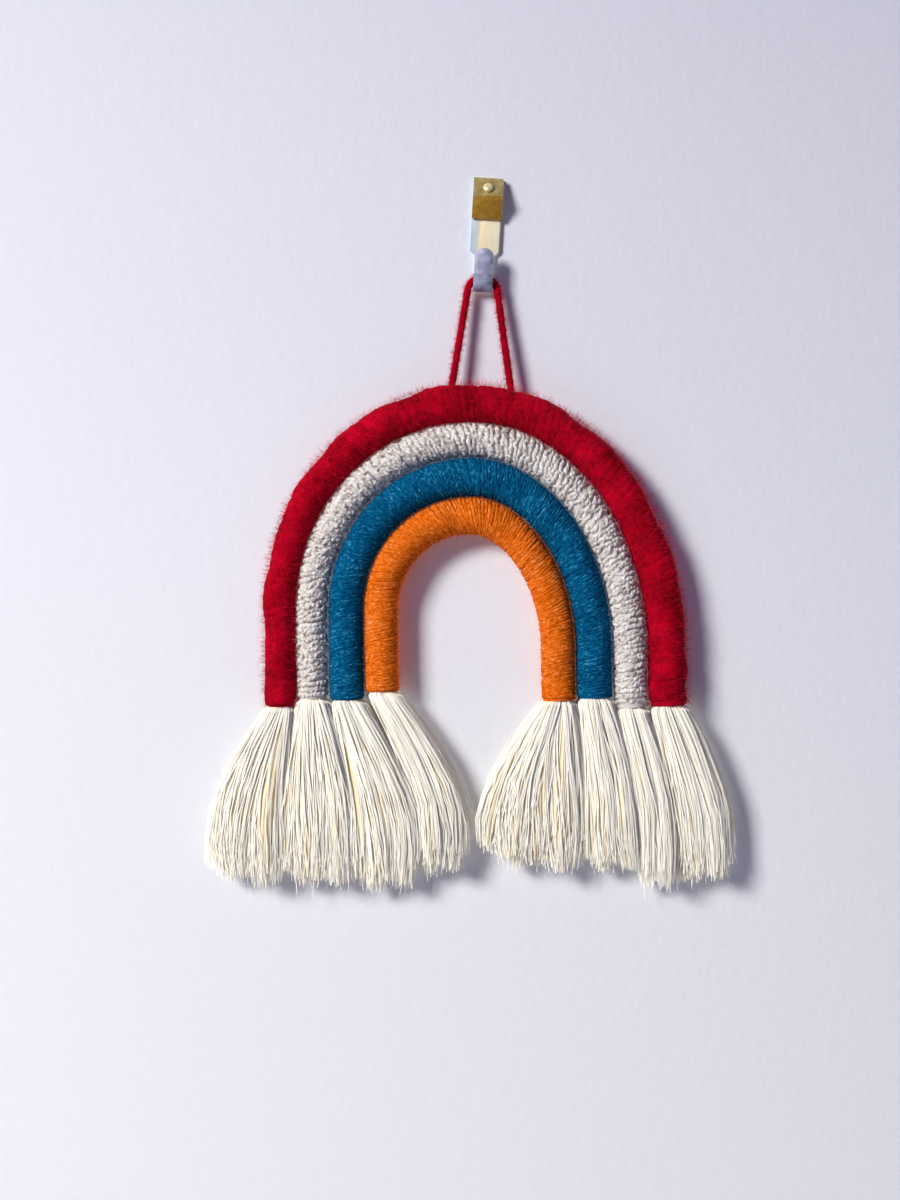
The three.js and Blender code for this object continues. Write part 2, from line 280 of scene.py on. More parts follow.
def setUpCamera():
    width, height = cameraView["imageSize"]
    left, top = cameraView["originPixel"]
    pixel = cameraView["pixelSize"]
    data = bpy.data.cameras.new("straightOn")
    data.sensor_width = cameraView["sensor"]
    data.lens = cameraView["sensor"] * cameraView["distance"] / (height * pixel)
    camera = bpy.data.objects.new("straightOn", data)
    camera.rotation_euler = (math.pi / 2, 0, 0)
    camera.location = Vector((
        (width / 2 - left) * pixel,
        cameraView["ropePlane"] - cameraView["distance"],
        (top - height / 2) * pixel,
    )) * mm
    data.clip_start = 0.01
    scene.collection.objects.link(camera)
    scene.camera = camera
    scene.view_settings.view_transform = "Standard"


setUpCamera()
print("camera set")


# yarn finishes: picture colours from shade to light, and how much each kind of unevenness shows
fineFinish = {"patch": (0.12, 160), "turns": 0.1, "fleck": (0.62, 800, 8.0), "sheen": 0.05, "bump": 0.8}
yarnFinishes = {
    "red": {
        "stops": [(0.0, (80, 0, 4)), (0.4, (142, 0, 20)), (0.7, (184, 0, 36)), (1.0, (214, 8, 58))],
        "fuzz": (206, 22, 56),
        "patch": (0.36, 95),  # weight and scale of broad patches
        "turns": 0.1,
        "fleck": (0.3, 500, 3.0),  # weight, and scales along and across the yarn
        "sheen": 0.05,
        "bump": 0.6,
    },
    "oat": {
        "stops": [
            (0.0, (118, 104, 92)), (0.22, (172, 163, 156)), (0.45, (210, 204, 202)),
            (0.75, (229, 225, 225)), (1.0, (245, 243, 244)),
        ],
        "fuzz": (224, 219, 218),
        "patch": (0.16, 200),
        "turns": 0.1,
        "fleck": (0.9, 760, 4.0),
        "sheen": 0.1,
        "bump": 0.7,
    },
    # for teal and orange, the lightest stop is partly a painted highlight: the flecks that reach it, at
    # random, stand for fibres catching the light
    "teal": {
        **fineFinish,
        "stops": [(0.0, (0, 24, 46)), (0.4, (0, 72, 112)), (0.65, (0, 96, 142)), (1.0, (84, 168, 200))],
        "fuzz": (16, 104, 148),
    },
    "orange": {
        **fineFinish,
        "stops": [
            (0.0, (136, 54, 0)), (0.4, (208, 96, 10)), (0.65, (234, 118, 30)), (1.0, (255, 172, 120)),
        ],
        "fuzz": (238, 132, 62),
    },
}
yarnGrain = {
    "turnScale": 1.3,  # noise from turn to turn
    "turnStep": 1.7,  # how far the flecks move on from turn to turn
    "middle": 0.52,  # tone of even yarn on the colour stops
    "fuzzMix": 0.6,
    "fibreScale": 2600,
    "bumpDepth": 0.3,
}
yarnSurface = {"Roughness": 0.95, "Specular IOR Level": 0.05, "Sheen Roughness": 0.45}


def makeYarnMaterial(name, finish):
    sheen = {"Sheen Weight": finish["sheen"], "Sheen Tint": picture(*finish["fuzz"])}
    material, graph, shader = newMaterial(name + "Yarn", {**yarnSurface, **sheen})

    def kept(label):
        return graph.add("ShaderNodeAttribute", attribute_name=label).outputs["Fac"]

    place = graph.add("ShaderNodeTexCoord").outputs["Object"]
    patchWeight, patchScale = finish["patch"]
    fleckWeight, alongScale, acrossScale = finish["fleck"]
    patches = graph.centred(graph.noise(place, patchScale), patchWeight)
    turns = graph.centred(graph.noiseAlong(kept("turn"), yarnGrain["turnScale"]), finish["turns"])
    onYarn = graph.xyz(
        graph.times(kept("travel"), alongScale),
        graph.times(kept("turn"), yarnGrain["turnStep"]),
        graph.times(kept("around"), acrossScale),
    )
    flecks = graph.noise(onYarn, 1.0, 3.0)
    uneven = graph.plus(graph.plus(patches, turns), graph.centred(flecks, fleckWeight))
    yarn = graph.ramp(graph.plus(uneven, yarnGrain["middle"]), finish["stops"])
    fuzzy = graph.times(kept("fuzz"), yarnGrain["fuzzMix"])
    colour = graph.mixColour(fuzzy, yarn, picture(*finish["fuzz"]))
    graph.feed(shader["Base Color"], colour)
    fibres = graph.plus(graph.noise(place, yarnGrain["fibreScale"], 3.0), flecks)
    graph.bump(shader, finish["bump"], yarnGrain["bumpDepth"], fibres)
    return material


yarnMaterials = {name: makeYarnMaterial(name, finish) for name, finish in yarnFinishes.items()}


fuzzShape = {
    "backLimit": 0.45,  # none where the shell faces the mounting plane more than this
    "rise": 0.6,  # shares of a hair's length
    "bendAt": 0.2,
    "endAt": 0.8,
    "taper": 0.7,  # share of its width that is lost by the tip
    "lie": (-0.7, 0.6),  # how far a hair leans, in radians
    "size": (0.4, 1.0),
    "sizePower": 1.8,
}


# short loose fibres that stand on a shell, each a bent flat hair, with none towards the mounting plane
def addFuzz(graph, given, shell):
    backward = graph.part(graph.run("InputNormal"), "Y")
    inputs = {
        "Mesh": shell,
        "Selection": graph.math("LESS_THAN", backward, fuzzShape["backLimit"]),
        "Density": given["Fuzz Density"],
        "Seed": given["Seed"],
    }
    spots = graph.add("GeometryNodeDistributePointsOnFaces", inputs)
    length = given["Fuzz Length"]
    rise = graph.times(length, fuzzShape["rise"])
    middle = graph.xyz(graph.times(length, fuzzShape["bendAt"]), 0.0, rise)
    end = graph.xyz(graph.times(length, fuzzShape["endAt"]), 0.0, rise)
    bend = {"Resolution": 2, "Start": (0.0, 0.0, 0.0), "Middle": middle, "End": end}
    line = graph.run("CurveQuadraticBezier", bend)
    flat = graph.ribbon(given["Fuzz Radius"], "X")
    way = graph.add("GeometryNodeSplineParameter").outputs["Factor"]
    taper = graph.minus(1.0, graph.times(way, fuzzShape["taper"]))
    hair = graph.sweep(line, flat, taper, False)

    def turnedBy(rotation, axis, angle):
        inputs = {"Axis": axis, "Angle": angle}
        by = graph.add("FunctionNodeAxisAngleToRotation", inputs).outputs[0]
        inputs = {"Rotation": rotation, "Rotate By": by}
        return graph.add("FunctionNodeRotateRotation", inputs, rotation_space="LOCAL").outputs[0]

    spun = turnedBy(spots.outputs["Rotation"], (0.0, 0.0, 1.0), graph.random(0.0, 2 * math.pi, 1))
    lying = turnedBy(spun, (0.0, 1.0, 0.0), graph.random(*fuzzShape["lie"], 3))
    size = graph.math("POWER", graph.random(*fuzzShape["size"], 2), fuzzShape["sizePower"])
    inputs = {"Points": spots.outputs["Points"], "Instance": hair, "Rotation": lying, "Scale": size}
    hairs = graph.run("InstanceOnPoints", inputs)
    return graph.keep(hairs, "fuzz", 1.0, "INSTANCE")


# the hanging loop, two soft plies along the cord's route
loopYarn = {
    "diameter": 2.2,
    "tuck": 2.5,  # how far each end goes on into the red winding
    "unevenness": 0.12,
    "unevenScale": 300.0,
    "plySides": 10,
    "shellSides": 8,
}
loopPlies = {
    "Points": 150, "Plies": 2, "Ply Radius": 0.98, "Ply Offset": 0.14, "Ply Length": 6.5,
    "Yarn Radius": loopYarn["diameter"] / 2, "Fuzz Density": 1.5e7, "Fuzz Length": 1.7, "Fuzz Radius": 0.05,
    "Seed": 5,
}
loopRoute = [
    (-10.2, -5, -46.2), (-9.4, -4.7, -41.4), (-8.6, -4.4, -36.6), (-7.8, -4.1, -31.7), (-7, -3.8, -26.9),
    (-6.2, -3.5, -22), (-5.45, -3.3, -17.34), (-4.91, -3.2, -15.82), (-3.9, -3.2, -14.62),
    (-2.55, -3.2, -13.84), (-1.01, -3.2, -13.57), (0.53, -3.2, -13.84), (1.88, -3.2, -14.62),
    (2.89, -3.2, -15.82), (3.45, -3.3, -17.47), (4.1, -3.5, -22.3), (4.75, -3.8, -27.1), (5.4, -4.1, -32),
    (6.1, -4.4, -37.2), (6.8, -4.7, -42.4), (7.45, -5, -47.4),
]


def makeTwistTree():
    graph, given = startTree("twistedYarn", loopPlies)
    rough = graph.run("MeshToCurve", {"Mesh": given["Geometry"]})
    rounded = graph.run("CurveSplineType", {"Curve": rough}, spline_type="CATMULL_ROM")
    guide = graph.run("ResampleCurve", {"Curve": rounded, "Count": given["Points"]})
    plies = graph.add(
        "GeometryNodeDuplicateElements", {"Geometry": guide, "Amount": given["Plies"]}, domain="SPLINE"
    )
    way = graph.add("GeometryNodeSplineParameter").outputs["Length"]
    phase = graph.over(plies.outputs["Duplicate Index"], given["Plies"])
    twist = graph.plus(graph.over(way, given["Ply Length"]), phase)
    angle = graph.times(twist, 2 * math.pi)
    normal = graph.run("InputNormal")
    tangent = graph.run("InputTangent")
    side = graph.vector("CROSS_PRODUCT", tangent, normal)
    across = graph.vector(
        "ADD",
        graph.scaled(normal, graph.math("COSINE", angle)),
        graph.scaled(side, graph.math("SINE", angle)),
    )
    kept = graph.keep(plies.outputs[0], "travel", way)
    kept = graph.keep(kept, "turn", phase)
    offset = graph.scaled(across, given["Ply Offset"])
    twisted = graph.run("SetPosition", {"Geometry": kept, "Offset": offset})
    uneven = graph.centred(graph.noiseAlong(way, loopYarn["unevenScale"]), loopYarn["unevenness"])
    strands = graph.tube(twisted, loopYarn["plySides"], given["Ply Radius"], graph.plus(uneven, 1.0))
    shell = graph.tube(guide, loopYarn["shellSides"], given["Yarn Radius"], 1.0, False)
    return endTree(graph, given, [strands, addFuzz(graph, given, shell)])


def makeLoop():
    route = [Vector(place) * mm for place in loopRoute]
    tuck = loopYarn["tuck"] * mm
    first = route[0] + (route[0] - route[1]).normalized() * tuck
    last = route[-1] + (route[-1] - route[-2]).normalized() * tuck
    path = [first, *route, last]
    host = makeHost("loopRoute", [path], {})
    loop = growPiece("hanging_yarn", host, makeTwistTree(), loopPlies, yarnMaterials["red"])
    dress(loop, "red_yarn", "hanging_loop")


makeLoop()


# the arches: centre lines and wound radii, from the outside in
archSizes = {
    "gap": 0.3,
    "depth": 6.2,
    "outerLeft": -61.9,
    "outerRight": 54.2,
    "middle": -4.6,
    "outerCrown": -52.05,
    "leftSpring": -114,
    "rightSpring": -126,
    "leftLean": 0.0007,
    "rightLean": 0.0016,
    "archSteps": 44,
    "legSteps": 7,
    "finer": 4,  # guide points for each step
}
ropes = {  # radii at the left leg, the crown and the right leg, and heights of the ends
    "red": {"left": 4.6, "crown": 5.5, "right": 5.7, "leftEnd": -142.8, "rightEnd": -142.5},
    "oat": {"left": 4.7, "crown": 5.1, "right": 5.1, "leftEnd": -140.4, "rightEnd": -143.1},
    "teal": {"left": 5.2, "crown": 5.8, "right": 5.4, "leftEnd": -140.7, "rightEnd": -140.2},
    "orange": {"left": 5.2, "crown": 5.6, "right": 5.1, "leftEnd": -138.3, "rightEnd": -141},
}
# the lumps under each winding: their height, and how many there are along the rope
lumps = {"red": (0.5, 9), "oat": (0.3, 11), "teal": (0.3, 8), "orange": (0.3, 6)}


def woundRadius(rope, angle):
    leg = rope["left"] if angle < math.pi / 2 else rope["right"]
    return leg + (rope["crown"] - leg) * math.sin(angle) ** 2


# a point of a rope's centre line and the way outward, at an angle from 0 (left leg) to pi (right leg)
def archPoint(name, angle):
    size = archSizes
    onLeft = angle < math.pi / 2
    halfSpan = size["middle"] - size["outerLeft"] if onLeft else size["outerRight"] - size["middle"]
    spring = size["leftSpring"] if onLeft else size["rightSpring"]
    rise = size["outerCrown"] - spring
    across = size["middle"] - halfSpan * math.cos(angle)
    outer = Vector((across, -size["depth"], spring + rise * math.sin(angle)))
    outward = Vector((-math.cos(angle) / halfSpan, 0, math.sin(angle) / rise)).normalized()
    order = list(ropes.values())
    inset = 0
    for before, after in zip(order, order[1:]):
        if before is ropes[name]:
            break
        inset += woundRadius(before, angle) + size["gap"] + woundRadius(after, angle)
    return outer - outward * inset, outward


def legPoint(name, side, height):
    centre, outward = archPoint(name, 0 if side == "left" else math.pi)
    drop = archSizes[side + "Spring"] - height
    centre.x += archSizes[side + "Lean"] * drop ** 2
    centre.z = height
    return centre, outward


# centre, outward way and angle at a step, from the left leg's end over the crown to the right leg's end
def ropeStation(name, step):
    size = archSizes
    rope = ropes[name]
    beyond = step - size["legSteps"] - size["archSteps"]
    if step < size["legSteps"]:
        share = step / size["legSteps"]
        height = rope["leftEnd"] + (size["leftSpring"] - rope["leftEnd"]) * share
        return (*legPoint(name, "left", height), 0)
    if beyond > 0:
        share = beyond / size["legSteps"]
        height = size["rightSpring"] + (rope["rightEnd"] - size["rightSpring"]) * share
        return (*legPoint(name, "right", height), math.pi)
    angle = math.pi * (step - size["legSteps"]) / size["archSteps"]
    return (*archPoint(name, angle), angle)


def makeRopeHost(name):
    rope = ropes[name]
    lumpHeight, lumpCount = lumps[name]
    steps = archSizes["archSteps"] + 2 * archSizes["legSteps"]
    line = []
    values = {"outward": [], "woundRadius": [], "lump": []}
    for k in range(steps * archSizes["finer"] + 1):
        step = k / archSizes["finer"]
        centre, outward, angle = ropeStation(name, step)
        along = 2 * math.pi * step / steps
        wave = 0.6 * math.sin(lumpCount * along) + 0.4 * math.sin(1.7 * lumpCount * along + 1)
        line.append(centre * mm)
        values["outward"].append(outward)
        values["woundRadius"].append(woundRadius(rope, angle) * mm)
        values["lump"].append(lumpHeight * wave * mm)
    return makeHost(name + "Line", [line], values)


# yarn wound round a rope: a coil of one or more plies over a core, with loose fibres
fineYarn = {
    "Points Per Turn": 22, "Sides": 6, "Yarn Radius": 0.46, "Yarn Half Width": 0.76, "Plies": 1,
    "Ply Offset": 0.0, "Ply Length": 3.0, "Bury": 0.42, "Unevenness": 0.17, "Slub": 0.16, "Drift": 0.4,
    "Slant": 1.1, "Slack": 0.9, "Wiggle": 0.15, "Outer Lumps": 0.0,
    "Fuzz Density": 1.6e6, "Fuzz Length": 1.7, "Fuzz Radius": 0.04,
}
windings = {
    "red": {
        "Turns": 118, "Points Per Turn": 24, "Sides": 10, "Yarn Radius": 0.7, "Yarn Half Width": 2.0,
        "Plies": 1, "Ply Offset": 0.0, "Ply Length": 8.0, "Bury": 0.62, "Unevenness": 0.34, "Slub": 0.1,
        "Drift": 0.3, "Slant": 0.8, "Slack": 0.9, "Wiggle": 0.2, "Outer Lumps": 1.0,
        "Fuzz Density": 3.4e6, "Fuzz Length": 3.0, "Fuzz Radius": 0.06, "Seed": 11,
    },
    "oat": {
        "Turns": 140, "Points Per Turn": 54, "Sides": 5, "Yarn Radius": 0.5, "Yarn Half Width": 0.64,
        "Plies": 2, "Ply Offset": 0.28, "Ply Length": 2.5, "Bury": 0.66, "Unevenness": 0.2, "Slub": 0.6,
        "Drift": 0.8, "Slant": 0.7, "Slack": 1.8, "Wiggle": 1.2, "Outer Lumps": 0.0,
        "Fuzz Density": 0.8e6, "Fuzz Length": 1.6, "Fuzz Radius": 0.045, "Seed": 12,
    },
    "teal": {**fineYarn, "Turns": 196, "Seed": 13},
    "orange": {**fineYarn, "Turns": 152, "Seed": 14},
}
windingGrain = {
    "squareTurns": 5.0,  # turns at each end that lie square
    "wanderScale": 0.23,  # scales of the noise, with a weight where there are two numbers
    "dents": (190.0, 0.7),
    "slubs": (3.1, 0.6),
    "slubScale": 420.0,
    "plyStep": 7.7,  # between the plies' places in that noise
    "plyWander": (170.0, 0.6),
    "crossingScale": 0.8,
    "crossingStart": 57.0,
    "wiggleScale": 300.0,
    "coreSides": 24,
}


def makeWindingTree():
    graph, given = startTree("yarnWinding", windings["red"])
    grain = windingGrain
    guide = graph.run("MeshToCurve", {"Mesh": given["Geometry"]})
    count = graph.times(given["Turns"], given["Points Per Turn"])
    straight = graph.run("CurvePrimitiveLine")
    coil = graph.run("ResampleCurve", {"Curve": straight, "Count": count})
    plies = graph.add(
        "GeometryNodeDuplicateElements", {"Geometry": coil, "Amount": given["Plies"]}, domain="SPLINE"
    )
    share = graph.add("GeometryNodeSplineParameter").outputs["Factor"]
    ropeLength = graph.run("CurveLength", {"Curve": guide})
    yarnReach = graph.plus(given["Yarn Half Width"], given["Ply Offset"])
    endTurn = graph.over(yarnReach, ropeLength)
    kept = graph.minus(1.0, graph.times(endTurn, 2.0))
    spot = graph.plus(endTurn, graph.times(share, kept))

    def onGuide(name, kind):  # the rope's own value beside this point of the yarn
        inputs = {"Curves": guide, "Value": graph.named(name, kind), "Factor": spot}
        return graph.add("GeometryNodeSampleCurve", inputs, mode="FACTOR", data_type=kind)

    rope = onGuide("outward", "FLOAT_VECTOR")
    radius = onGuide("woundRadius", "FLOAT").outputs["Value"]
    lump = onGuide("lump", "FLOAT").outputs["Value"]

    plainTurn = graph.times(share, given["Turns"])
    fromEnd = graph.math("MINIMUM", plainTurn, graph.minus(given["Turns"], plainTurn))
    loosened = graph.math("MINIMUM", graph.over(fromEnd, grain["squareTurns"]), 1.0)
    wander = graph.noiseAlong(graph.plus(plainTurn, given["Seed"]), grain["wanderScale"])
    drift = graph.times(graph.centred(wander, 1.0), given["Drift"])
    turn = graph.plus(plainTurn, graph.times(drift, loosened))
    angle = graph.times(turn, 2 * math.pi)
    cosine = graph.math("COSINE", angle)
    sine = graph.math("SINE", angle)
    radial = graph.vector(
        "ADD", graph.scaled(rope.outputs["Value"], cosine), graph.scaled(tuple(frontward), sine)
    )
    facingFront = graph.math("POWER", graph.math("MAXIMUM", sine, 0.0), 2.0)
    facingOut = graph.math("POWER", graph.math("MAXIMUM", cosine, 0.0), 2.0)
    facing = graph.plus(facingFront, graph.times(facingOut, given["Outer Lumps"]))
    skin = graph.vector("ADD", rope.outputs["Position"], graph.scaled(radial, radius))
    dentScale, dentWeight = grain["dents"]
    dents = graph.centred(graph.noise(skin, dentScale), dentWeight)
    slubScale, slubWeight = grain["slubs"]
    slubs = graph.centred(graph.noiseAlong(graph.plus(turn, given["Seed"]), slubScale), slubWeight)
    rough = graph.times(graph.plus(dents, slubs), given["Unevenness"])
    lumped = graph.plus(radius, graph.times(lump, facing))
    reach = graph.plus(graph.minus(lumped, given["Bury"]), rough)

    travel = graph.times(angle, radius)
    phase = graph.over(plies.outputs["Duplicate Index"], given["Plies"])
    ownSlub = graph.plus(travel, graph.times(phase, grain["plyStep"]))
    slubNoise = graph.noiseAlong(ownSlub, grain["slubScale"])
    plyTurn = graph.plus(graph.over(travel, given["Ply Length"]), phase)
    plyScale, plyWeight = grain["plyWander"]
    plyTurn = graph.plus(plyTurn, graph.centred(graph.noiseAlong(travel, plyScale), plyWeight))
    plyAngle = graph.times(plyTurn, 2 * math.pi)
    plyWay = graph.vector(
        "ADD",
        graph.scaled(radial, graph.math("COSINE", plyAngle)),
        graph.scaled(rope.outputs["Tangent"], graph.math("SINE", plyAngle)),
    )
    later = graph.plus(turn, grain["crossingStart"])
    crossing = graph.centred(graph.noiseAlong(later, grain["crossingScale"]), 1.0)
    lean = graph.minus(graph.times(crossing, given["Slack"]), given["Slant"])
    wiggle = graph.centred(graph.noiseAlong(travel, grain["wiggleScale"]), 1.0)
    wiggle = graph.times(wiggle, given["Wiggle"])
    shift = graph.plus(graph.times(lean, cosine), wiggle)
    aside = graph.scaled(rope.outputs["Tangent"], graph.times(shift, loosened))
    centre = graph.vector("ADD", rope.outputs["Position"], graph.scaled(radial, reach))
    centre = graph.vector("ADD", centre, aside)
    place = graph.vector("ADD", centre, graph.scaled(plyWay, given["Ply Offset"]))

    ownTurn = graph.plus(turn, graph.times(phase, 0.5))
    coiled = graph.keep(plies.outputs[0], "turn", ownTurn)
    coiled = graph.keep(coiled, "travel", travel)
    coiled = graph.faced(coiled, radial)
    coiled = graph.run("SetPosition", {"Geometry": coiled, "Position": place})
    inputs = {"Resolution": given["Sides"], "Radius": given["Yarn Radius"]}
    circle = graph.run("CurvePrimitiveCircle", inputs)
    circle = graph.keep(circle, "around", share)
    wider = graph.xyz(-1.0, graph.over(given["Yarn Half Width"], given["Yarn Radius"]), 1.0)
    section = graph.run("Transform", {"Geometry": circle, "Scale": wider})
    thickness = graph.plus(1.0, graph.times(graph.centred(slubNoise, 1.0), given["Slub"]))
    yarn = graph.sweep(coiled, section, thickness)
    coreRadius = graph.minus(graph.named("woundRadius"), given["Bury"])
    core = graph.tube(guide, grain["coreSides"], 1.0, coreRadius)
    shell = graph.tube(guide, grain["coreSides"], 1.0, graph.named("woundRadius"), False)
    return endTree(graph, given, [core, yarn, addFuzz(graph, given, shell)])


def makeWindings():
    tree = makeWindingTree()
    for name, sizes in windings.items():
        piece = growPiece("winding_" + name, makeRopeHost(name), tree, sizes, yarnMaterials[name])
        dress(piece, name + "_yarn", "wrap_" + name)


makeWindings()


# the frayed ends: locks set as in the solids, each a soft body under many strands
fringeSizes = {
    "headExtra": 0.7,  # the strands bulge this far past the winding just below it
    "coreInset": 0.4,
    "locks": 28,
    "outerStrands": 0.6,  # how far the outermost strands stand out, as a share of a lock's radius
    "uneven": (0.045, 0.03),  # two waves in the locks' lengths
    "fullness": 0.3,  # and one in their radii
    "topShare": 0.42,  # a lock's radius as a share of the fringe's size, where the locks start
    "tipShare": 0.24,  # and where they are fully spread
    "pinch": 0.45,  # how far a lock draws together at its very tip
    "pinchPower": 6,
    "squareness": 0.9,  # how far the locks fill the corners beside the next fringe
    "squareBelow": 5,  # and how far below the winding
    "spreadDrop": 44,  # the fringe is fully spread this far below the winding
    "tipHalfDepth": 5.2,
    "tuck": 2.5,  # how far the strands go on up into the winding
    "lip": 0.1,  # they start to bulge this far above the winding's end
    "bulge": 1.3,  # and are widest this far below it
    "sections": (0.06, 0.14, 0.24, 0.36, 0.5, 0.64, 0.8, 1.0),  # shares of a lock's drop
    "seedStep": 20,  # from fringe to fringe
}
strandSizes = {
    "Body Sides": 8,
    "Body Share": 0.78,
    "Strands Per Lock": 80,
    "Strand Half Width": 0.17,
    "Lock Wave": 2.8,
    "Lock Wave Length": 34,
    "Wave": 0.5,
    "Wave Length": 13,
    "Lean": 1.8,  # how far a strand may stray sideways from its lock by the tip
    "Stray": 0.04,
    "Wisp": 4.0,  # stray strands hang lower by up to this
    "Seed": 40,  # of the first fringe
}
strandShape = {  # two numbers are the ends of a random draw, where no note says otherwise
    "sway": (2.4, 2.0, 0.5),  # across, forward and upward
    "swayPower": 1.2,
    "lockStep": 0.37,  # between the locks' places in the noise
    # a darker, ochre tone on the lock bodies, which show only in the gaps between strands: painted shade
    "paintedGapShade": -0.1,
    "bodyPoint": 3.4,  # how steeply a body draws to its tip
    "bodyFull": 0.9,
    "bodyLoss": 0.1,  # and what it loses on the way down
    "twist": (-1.2, 2.4),
    "away": (0.5, 1.15),
    "strayReach": 4.0,
    "placeAside": (0.0, 0.06),
    "placeUp": (0.0, 0.3),
    "hang": (-1.0, -0.2),
    "tipPower": 3.0,
    "tone": (0.45, 1.0),
    "ownFacing": 0.35,
    "lockFacing": 0.5,
    "facingAcross": (-0.85, 0.15),
    "facingForward": (-1.4, -0.5),
    "cut": (0.87, 1.0),
    "thickness": (0.75, 1.2),
    "thinning": 0.5,
}
fringeTips = {  # middle and half width at the tips, and length
    "red_left": (-71.6, 12.4, 51.5),
    "oat_left": (-49.5, 11.9, 53.5),
    "teal_left": (-29.25, 10.4, 55.5),
    "orange_left": (-13, 7.4, 54.5),
    "orange_right": (14.7, 17.4, 49),
    "teal_right": (38.4, 8.6, 49.5),
    "oat_right": (51.15, 5.5, 51.5),
    "red_right": (64.7, 9.4, 51),
}


def makeFringeHost(label):
    size = fringeSizes
    name, side = label.split("_")
    tipMiddle, tipHalf, length = fringeTips[label]
    rope = ropes[name]
    root = legPoint(name, side, rope[side + "End"])[0]
    fill = 1 + size["outerStrands"] * size["topShare"]
    headRadius = (rope[side] + size["headExtra"]) / fill
    coreRadius = (rope[side] - windings[name]["Bury"] - size["coreInset"]) / fill
    goldenAngle = math.pi * (3 - math.sqrt(5))
    lines = []
    values = {"spanX": [], "spanY": [], "lock": [], "outward": []}
    for lock in range(size["locks"]):
        away = math.sqrt((lock + 0.5) / size["locks"])
        cosine = math.cos(lock * goldenAngle)
        sine = math.sin(lock * goldenAngle)
        corner = max(abs(cosine), abs(sine)) ** -size["squareness"]
        across = away * corner * cosine
        forward = away * corner * sine
        slow, quick = size["uneven"]
        uneven = 1 + slow * math.sin(5 * lock) + quick * math.sin(11 * lock + 2)
        fullness = 1 + size["fullness"] * math.sin(3.7 * lock + 1)
        sideways = tipMiddle - root.x + across * (tipHalf - headRadius)
        drop = math.sqrt((length * uneven) ** 2 - sideways ** 2)
        line = []
        heights = [-size["tuck"], -size["lip"], size["bulge"]]
        heights += [drop * share for share in size["sections"]]
        for below in heights:
            outside = min(max((below + size["lip"]) / (size["bulge"] + size["lip"]), 0), 1)
            square = 1 + (1 / corner - 1) * min(max(1 - below / size["squareBelow"], 0), 1)
            spread = math.sin(math.pi / 2 * min(max(below / size["spreadDrop"], 0), 1))
            share = size["topShare"] + (size["tipShare"] * fullness - size["topShare"]) * spread
            neck = coreRadius + (headRadius - coreRadius) * outside
            within = square * (1 - share / 2)
            middle = root.x + (tipMiddle - root.x) * spread
            halfWidth = neck + (tipHalf - neck) * spread
            halfDepth = neck + (size["tipHalfDepth"] - neck) * spread
            place = Vector((
                middle + halfWidth * within * across,
                root.y - halfDepth * within * forward,
                root.z - below,
            ))
            line.append(place * mm)
            share *= 1 - size["pinch"] * max(below / drop, 0) ** size["pinchPower"]
            values["spanX"].append(share * halfWidth * mm)
            values["spanY"].append(share * halfDepth * mm)
            values["lock"].append(float(lock))
            values["outward"].append(Vector((cosine, -sine, 0)))
        lines.append(line)
    return makeHost("lockLines", lines, values)


